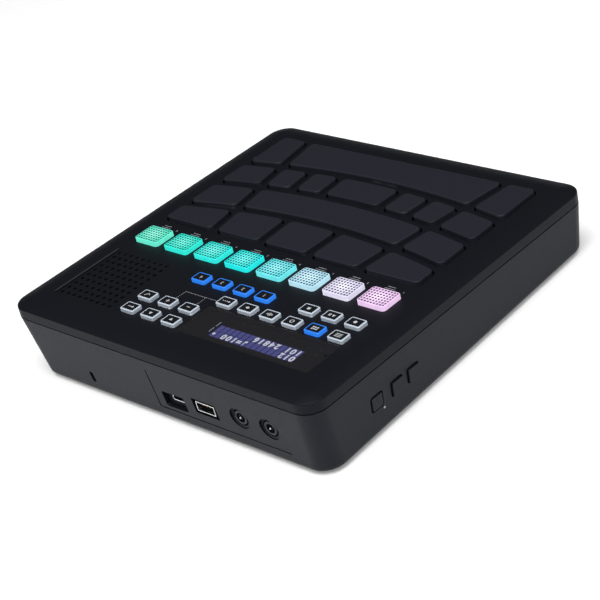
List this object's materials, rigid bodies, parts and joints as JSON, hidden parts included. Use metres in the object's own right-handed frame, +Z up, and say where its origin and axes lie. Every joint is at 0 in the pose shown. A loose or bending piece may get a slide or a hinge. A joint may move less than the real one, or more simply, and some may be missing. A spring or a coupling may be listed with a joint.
{
  "type": "finger drum pad",
  "caption": "Square wedge-shaped finger drum pad with curved rows of rubber pads, lit colour pads, push buttons, a small display and a speaker grille.",
  "frame": {"origin": "centre of the footprint's box, at the bottom of the rubber feet", "axes": "+Z up; -Y to the player, +Y to the wall with the sockets; -X to the wall with the side buttons"},
  "size_m": [0.2248, 0.2236, 0.0501],
  "materials": {
    "cover_plastic": "fine matte grain",
    "case_plastic": "fine matte grain",
    "pad_rubber": "matte moulded rubber",
    "glow_pink": "translucent dotted silicone, lit",
    "glow_lavender": "translucent dotted silicone, lit",
    "glow_pale_blue": "translucent dotted silicone, lit",
    "glow_aqua": "translucent dotted silicone, lit",
    "glow_turquoise": "translucent dotted silicone, lit",
    "glow_sea_green": "translucent dotted silicone, lit",
    "glow_green": "translucent dotted silicone, lit",
    "button_grey": "translucent, with a black printed top",
    "button_blue": "translucent, lit",
    "smoked_window": "smoked, polished",
    "display_blue": "backlit",
    "circuit_board": "solder resist",
    "socket_metal": "plated",
    "battery_wrap": "shrink wrap",
    "speaker_frame": "satin",
    "foot_rubber": "matte",
    "screw_steel": "zinc plated"
  },
  "bodies": {
    "body": {"top_cover": "cover_plastic", "bottom_case": "case_plastic", "display_window": "smoked_window", "display_module": "display_blue", "control_board": "circuit_board", "pad_sensor_board": "circuit_board", "main_board": "circuit_board", "rear_sockets": "socket_metal", "battery_pack": "battery_wrap", "speaker_driver": "speaker_frame", "rubber_feet": "foot_rubber", "case_screws": "screw_steel"},
    "drum_pad_a1": {"drum_pad_a1": "pad_rubber"},
    "drum_pad_a2": {"drum_pad_a2": "pad_rubber"},
    "drum_pad_a3": {"drum_pad_a3": "pad_rubber"},
    "drum_pad_a4": {"drum_pad_a4": "pad_rubber"},
    "drum_pad_a5": {"drum_pad_a5": "pad_rubber"},
    "drum_pad_b1": {"drum_pad_b1": "pad_rubber"},
    "drum_pad_b2": {"drum_pad_b2": "pad_rubber"},
    "drum_pad_b3": {"drum_pad_b3": "pad_rubber"},
    "drum_pad_c1": {"drum_pad_c1": "pad_rubber"},
    "drum_pad_c2": {"drum_pad_c2": "pad_rubber"},
    "drum_pad_c3": {"drum_pad_c3": "pad_rubber"},
    "drum_pad_c4": {"drum_pad_c4": "pad_rubber"},
    "drum_pad_c5": {"drum_pad_c5": "pad_rubber"},
    "drum_pad_c6": {"drum_pad_c6": "pad_rubber"},
    "drum_pad_c7": {"drum_pad_c7": "pad_rubber"},
    "drum_pad_d1": {"drum_pad_d1": "pad_rubber"},
    "drum_pad_d2": {"drum_pad_d2": "pad_rubber"},
    "drum_pad_d3": {"drum_pad_d3": "pad_rubber"},
    "rgb_pad_1": {"rgb_pad_1": "glow_pink"},
    "rgb_pad_2": {"rgb_pad_2": "glow_lavender"},
    "rgb_pad_3": {"rgb_pad_3": "glow_pale_blue"},
    "rgb_pad_4": {"rgb_pad_4": "glow_aqua"},
    "rgb_pad_5": {"rgb_pad_5": "glow_turquoise"},
    "rgb_pad_6": {"rgb_pad_6": "glow_turquoise"},
    "rgb_pad_7": {"rgb_pad_7": "glow_sea_green"},
    "rgb_pad_8": {"rgb_pad_8": "glow_green"},
    "nav_left_button": {"nav_left_button": "button_grey"},
    "nav_right_button": {"nav_right_button": "button_grey"},
    "back_button": {"back_button": "button_grey"},
    "minus_button": {"minus_button": "button_grey"},
    "plus_button": {"plus_button": "button_grey"},
    "confirm_button": {"confirm_button": "button_grey"},
    "mode_button_1": {"mode_button_1": "button_grey"},
    "mode_button_2": {"mode_button_2": "button_blue"},
    "mode_button_3": {"mode_button_3": "button_grey"},
    "mode_button_4": {"mode_button_4": "button_grey"},
    "mode_button_5": {"mode_button_5": "button_grey"},
    "mode_button_6": {"mode_button_6": "button_grey"},
    "record_button": {"record_button": "button_grey"},
    "play_button": {"play_button": "button_grey"},
    "stop_button": {"stop_button": "button_grey"},
    "bank_button_1": {"bank_button_1": "button_blue"},
    "bank_button_2": {"bank_button_2": "button_blue"},
    "bank_button_3": {"bank_button_3": "button_blue"},
    "bank_button_4": {"bank_button_4": "button_blue"},
    "power_button": {"power_button": "case_plastic"},
    "volume_up_button": {"volume_up_button": "case_plastic"},
    "volume_down_button": {"volume_down_button": "case_plastic"}
  },
  "joints": [
    {"name": "drum_pad_a1_press", "type": "slide", "parent": "body", "child": "drum_pad_a1", "axis": [0, -0.0488, 0.9988], "range_m": [-0.0007, 0], "stiffness_N_per_m": 1500, "springref_m": 0.001},
    {"name": "drum_pad_a2_press", "type": "slide", "parent": "body", "child": "drum_pad_a2", "axis": [0, -0.0488, 0.9988], "range_m": [-0.0007, 0], "stiffness_N_per_m": 1500, "springref_m": 0.001},
    {"name": "drum_pad_a3_press", "type": "slide", "parent": "body", "child": "drum_pad_a3", "axis": [0, -0.0488, 0.9988], "range_m": [-0.0007, 0], "stiffness_N_per_m": 1500, "springref_m": 0.001},
    {"name": "drum_pad_a4_press", "type": "slide", "parent": "body", "child": "drum_pad_a4", "axis": [0, -0.0488, 0.9988], "range_m": [-0.0007, 0], "stiffness_N_per_m": 1500, "springref_m": 0.001},
    {"name": "drum_pad_a5_press", "type": "slide", "parent": "body", "child": "drum_pad_a5", "axis": [0, -0.0488, 0.9988], "range_m": [-0.0007, 0], "stiffness_N_per_m": 1500, "springref_m": 0.001},
    {"name": "drum_pad_b1_press", "type": "slide", "parent": "body", "child": "drum_pad_b1", "axis": [0, -0.0488, 0.9988], "range_m": [-0.0007, 0], "stiffness_N_per_m": 1500, "springref_m": 0.001},
    {"name": "drum_pad_b2_press", "type": "slide", "parent": "body", "child": "drum_pad_b2", "axis": [0, -0.0488, 0.9988], "range_m": [-0.0007, 0], "stiffness_N_per_m": 1500, "springref_m": 0.001},
    {"name": "drum_pad_b3_press", "type": "slide", "parent": "body", "child": "drum_pad_b3", "axis": [0, -0.0488, 0.9988], "range_m": [-0.0007, 0], "stiffness_N_per_m": 1500, "springref_m": 0.001},
    {"name": "drum_pad_c1_press", "type": "slide", "parent": "body", "child": "drum_pad_c1", "axis": [0, -0.0488, 0.9988], "range_m": [-0.0007, 0], "stiffness_N_per_m": 1500, "springref_m": 0.001},
    {"name": "drum_pad_c2_press", "type": "slide", "parent": "body", "child": "drum_pad_c2", "axis": [0, -0.0488, 0.9988], "range_m": [-0.0007, 0], "stiffness_N_per_m": 1500, "springref_m": 0.001},
    {"name": "drum_pad_c3_press", "type": "slide", "parent": "body", "child": "drum_pad_c3", "axis": [0, -0.0488, 0.9988], "range_m": [-0.0007, 0], "stiffness_N_per_m": 1500, "springref_m": 0.001},
    {"name": "drum_pad_c4_press", "type": "slide", "parent": "body", "child": "drum_pad_c4", "axis": [0, -0.0488, 0.9988], "range_m": [-0.0007, 0], "stiffness_N_per_m": 1500, "springref_m": 0.001},
    {"name": "drum_pad_c5_press", "type": "slide", "parent": "body", "child": "drum_pad_c5", "axis": [0, -0.0488, 0.9988], "range_m": [-0.0007, 0], "stiffness_N_per_m": 1500, "springref_m": 0.001},
    {"name": "drum_pad_c6_press", "type": "slide", "parent": "body", "child": "drum_pad_c6", "axis": [0, -0.0488, 0.9988], "range_m": [-0.0007, 0], "stiffness_N_per_m": 1500, "springref_m": 0.001},
    {"name": "drum_pad_c7_press", "type": "slide", "parent": "body", "child": "drum_pad_c7", "axis": [0, -0.0488, 0.9988], "range_m": [-0.0007, 0], "stiffness_N_per_m": 1500, "springref_m": 0.001},
    {"name": "drum_pad_d1_press", "type": "slide", "parent": "body", "child": "drum_pad_d1", "axis": [0, -0.0488, 0.9988], "range_m": [-0.0007, 0], "stiffness_N_per_m": 1500, "springref_m": 0.001},
    {"name": "drum_pad_d2_press", "type": "slide", "parent": "body", "child": "drum_pad_d2", "axis": [0, -0.0488, 0.9988], "range_m": [-0.0007, 0], "stiffness_N_per_m": 1500, "springref_m": 0.001},
    {"name": "drum_pad_d3_press", "type": "slide", "parent": "body", "child": "drum_pad_d3", "axis": [0, -0.0488, 0.9988], "range_m": [-0.0007, 0], "stiffness_N_per_m": 1500, "springref_m": 0.001},
    {"name": "rgb_pad_1_press", "type": "slide", "parent": "body", "child": "rgb_pad_1", "axis": [0, -0.0488, 0.9988], "range_m": [-0.001, 0], "stiffness_N_per_m": 900, "springref_m": 0.001},
    {"name": "rgb_pad_2_press", "type": "slide", "parent": "body", "child": "rgb_pad_2", "axis": [0, -0.0488, 0.9988], "range_m": [-0.001, 0], "stiffness_N_per_m": 900, "springref_m": 0.001},
    {"name": "rgb_pad_3_press", "type": "slide", "parent": "body", "child": "rgb_pad_3", "axis": [0, -0.0488, 0.9988], "range_m": [-0.001, 0], "stiffness_N_per_m": 900, "springref_m": 0.001},
    {"name": "rgb_pad_4_press", "type": "slide", "parent": "body", "child": "rgb_pad_4", "axis": [0, -0.0488, 0.9988], "range_m": [-0.001, 0], "stiffness_N_per_m": 900, "springref_m": 0.001},
    {"name": "rgb_pad_5_press", "type": "slide", "parent": "body", "child": "rgb_pad_5", "axis": [0, -0.0488, 0.9988], "range_m": [-0.001, 0], "stiffness_N_per_m": 900, "springref_m": 0.001},
    {"name": "rgb_pad_6_press", "type": "slide", "parent": "body", "child": "rgb_pad_6", "axis": [0, -0.0488, 0.9988], "range_m": [-0.001, 0], "stiffness_N_per_m": 900, "springref_m": 0.001},
    {"name": "rgb_pad_7_press", "type": "slide", "parent": "body", "child": "rgb_pad_7", "axis": [0, -0.0488, 0.9988], "range_m": [-0.001, 0], "stiffness_N_per_m": 900, "springref_m": 0.001},
    {"name": "rgb_pad_8_press", "type": "slide", "parent": "body", "child": "rgb_pad_8", "axis": [0, -0.0488, 0.9988], "range_m": [-0.001, 0], "stiffness_N_per_m": 900, "springref_m": 0.001},
    {"name": "nav_left_button_press", "type": "slide", "parent": "body", "child": "nav_left_button", "axis": [0, -0.0488, 0.9988], "range_m": [-0.001, 0], "stiffness_N_per_m": 900, "springref_m": 0.001},
    {"name": "nav_right_button_press", "type": "slide", "parent": "body", "child": "nav_right_button", "axis": [0, -0.0488, 0.9988], "range_m": [-0.001, 0], "stiffness_N_per_m": 900, "springref_m": 0.001},
    {"name": "back_button_press", "type": "slide", "parent": "body", "child": "back_button", "axis": [0, -0.0488, 0.9988], "range_m": [-0.001, 0], "stiffness_N_per_m": 900, "springref_m": 0.001},
    {"name": "minus_button_press", "type": "slide", "parent": "body", "child": "minus_button", "axis": [0, -0.0488, 0.9988], "range_m": [-0.001, 0], "stiffness_N_per_m": 900, "springref_m": 0.001},
    {"name": "plus_button_press", "type": "slide", "parent": "body", "child": "plus_button", "axis": [0, -0.0488, 0.9988], "range_m": [-0.001, 0], "stiffness_N_per_m": 900, "springref_m": 0.001},
    {"name": "confirm_button_press", "type": "slide", "parent": "body", "child": "confirm_button", "axis": [0, -0.0488, 0.9988], "range_m": [-0.001, 0], "stiffness_N_per_m": 900, "springref_m": 0.001},
    {"name": "mode_button_1_press", "type": "slide", "parent": "body", "child": "mode_button_1", "axis": [0, -0.0488, 0.9988], "range_m": [-0.001, 0], "stiffness_N_per_m": 900, "springref_m": 0.001},
    {"name": "mode_button_2_press", "type": "slide", "parent": "body", "child": "mode_button_2", "axis": [0, -0.0488, 0.9988], "range_m": [-0.001, 0], "stiffness_N_per_m": 900, "springref_m": 0.001},
    {"name": "mode_button_3_press", "type": "slide", "parent": "body", "child": "mode_button_3", "axis": [0, -0.0488, 0.9988], "range_m": [-0.001, 0], "stiffness_N_per_m": 900, "springref_m": 0.001},
    {"name": "mode_button_4_press", "type": "slide", "parent": "body", "child": "mode_button_4", "axis": [0, -0.0488, 0.9988], "range_m": [-0.001, 0], "stiffness_N_per_m": 900, "springref_m": 0.001},
    {"name": "mode_button_5_press", "type": "slide", "parent": "body", "child": "mode_button_5", "axis": [0, -0.0488, 0.9988], "range_m": [-0.001, 0], "stiffness_N_per_m": 900, "springref_m": 0.001},
    {"name": "mode_button_6_press", "type": "slide", "parent": "body", "child": "mode_button_6", "axis": [0, -0.0488, 0.9988], "range_m": [-0.001, 0], "stiffness_N_per_m": 900, "springref_m": 0.001},
    {"name": "record_button_press", "type": "slide", "parent": "body", "child": "record_button", "axis": [0, -0.0488, 0.9988], "range_m": [-0.001, 0], "stiffness_N_per_m": 900, "springref_m": 0.001},
    {"name": "play_button_press", "type": "slide", "parent": "body", "child": "play_button", "axis": [0, -0.0488, 0.9988], "range_m": [-0.001, 0], "stiffness_N_per_m": 900, "springref_m": 0.001},
    {"name": "stop_button_press", "type": "slide", "parent": "body", "child": "stop_button", "axis": [0, -0.0488, 0.9988], "range_m": [-0.001, 0], "stiffness_N_per_m": 900, "springref_m": 0.001},
    {"name": "bank_button_1_press", "type": "slide", "parent": "body", "child": "bank_button_1", "axis": [0, -0.0488, 0.9988], "range_m": [-0.001, 0], "stiffness_N_per_m": 900, "springref_m": 0.001},
    {"name": "bank_button_2_press", "type": "slide", "parent": "body", "child": "bank_button_2", "axis": [0, -0.0488, 0.9988], "range_m": [-0.001, 0], "stiffness_N_per_m": 900, "springref_m": 0.001},
    {"name": "bank_button_3_press", "type": "slide", "parent": "body", "child": "bank_button_3", "axis": [0, -0.0488, 0.9988], "range_m": [-0.001, 0], "stiffness_N_per_m": 900, "springref_m": 0.001},
    {"name": "bank_button_4_press", "type": "slide", "parent": "body", "child": "bank_button_4", "axis": [0, -0.0488, 0.9988], "range_m": [-0.001, 0], "stiffness_N_per_m": 900, "springref_m": 0.001},
    {"name": "power_button_press", "type": "slide", "parent": "body", "child": "power_button", "axis": [-0.9969, 0.0038, -0.0784], "range_m": [-0.0008, 0], "stiffness_N_per_m": 900, "springref_m": 0.001},
    {"name": "volume_up_button_press", "type": "slide", "parent": "body", "child": "volume_up_button", "axis": [-0.9969, 0.0038, -0.0784], "range_m": [-0.0008, 0], "stiffness_N_per_m": 900, "springref_m": 0.001},
    {"name": "volume_down_button_press", "type": "slide", "parent": "body", "child": "volume_down_button", "axis": [-0.9969, 0.0038, -0.0784], "range_m": [-0.0008, 0], "stiffness_N_per_m": 900, "springref_m": 0.001}
  ]
}
